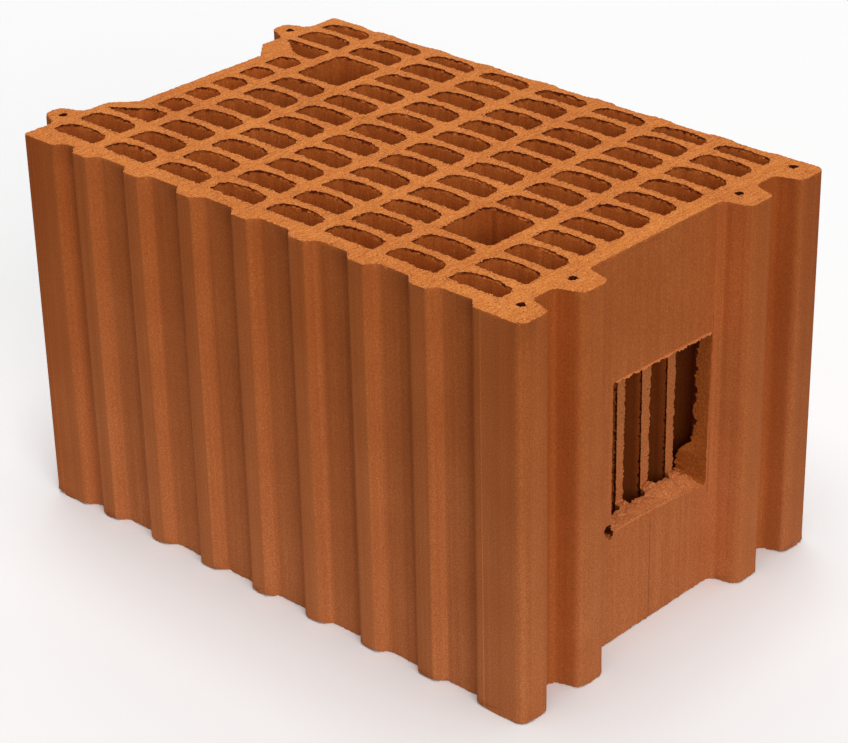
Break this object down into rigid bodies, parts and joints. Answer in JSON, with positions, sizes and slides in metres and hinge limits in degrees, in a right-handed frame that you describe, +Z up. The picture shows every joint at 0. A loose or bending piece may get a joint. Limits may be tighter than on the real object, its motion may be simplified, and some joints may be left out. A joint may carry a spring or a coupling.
{
  "type": "perforated clay block",
  "caption": "Large-format fired clay building block with vertical slots, a wavy side, interlocking tongue and groove ends, grip holes and a window cut in the grooved end.",
  "frame": {"origin": "middle of the box round the block, on the lower bed face", "axes": "+X along the length towards the grooved end with the window, +Z up along the extrusion, -Y out of the deep wavy side"},
  "size_m": [0.388, 0.25, 0.233],
  "materials": {
    "fired_clay": "matt unglazed fired clay, drawn smooth on the sides and rough where the wire cut it"
  },
  "bodies": {
    "root": {"clay_block": "fired_clay"}
  },
  "joints": []
}
